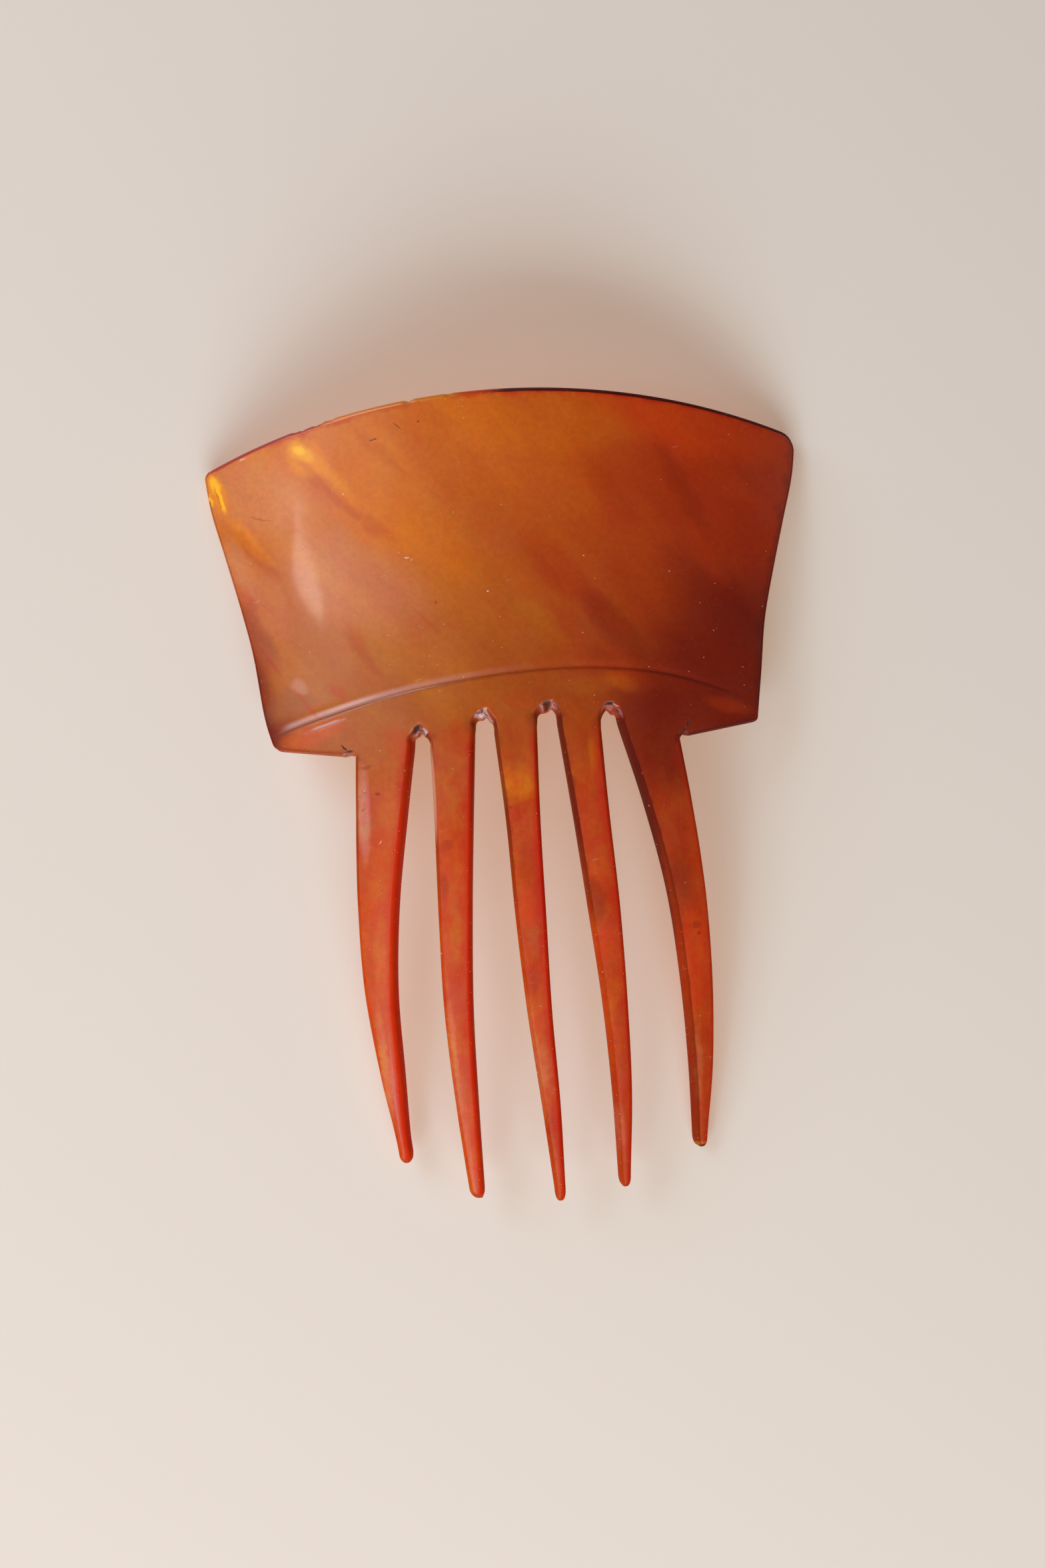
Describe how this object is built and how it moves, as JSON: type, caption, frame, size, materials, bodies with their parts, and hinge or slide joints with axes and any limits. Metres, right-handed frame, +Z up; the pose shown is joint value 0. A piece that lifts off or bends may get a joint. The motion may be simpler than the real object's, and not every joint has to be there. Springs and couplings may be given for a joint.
{
  "type": "mantilla comb",
  "caption": "Hair comb with a flared, bowed heading plate, a line scored across its foot, and long tapering teeth, cut from one sheet of blonde horn.",
  "frame": {"origin": "middle of the comb's footprint, on the surface it lies on", "axes": "+X across the comb, to its right as seen from the front, +Y from the tooth tips to the crown, +Z up, out of the bowed front"},
  "size_m": [0.094, 0.1272, 0.0191],
  "materials": {
    "horn": "polished blonde horn, clouded amber to dark red, with fine scratches"
  },
  "bodies": {
    "root": {"comb": "horn"}
  },
  "joints": []
}
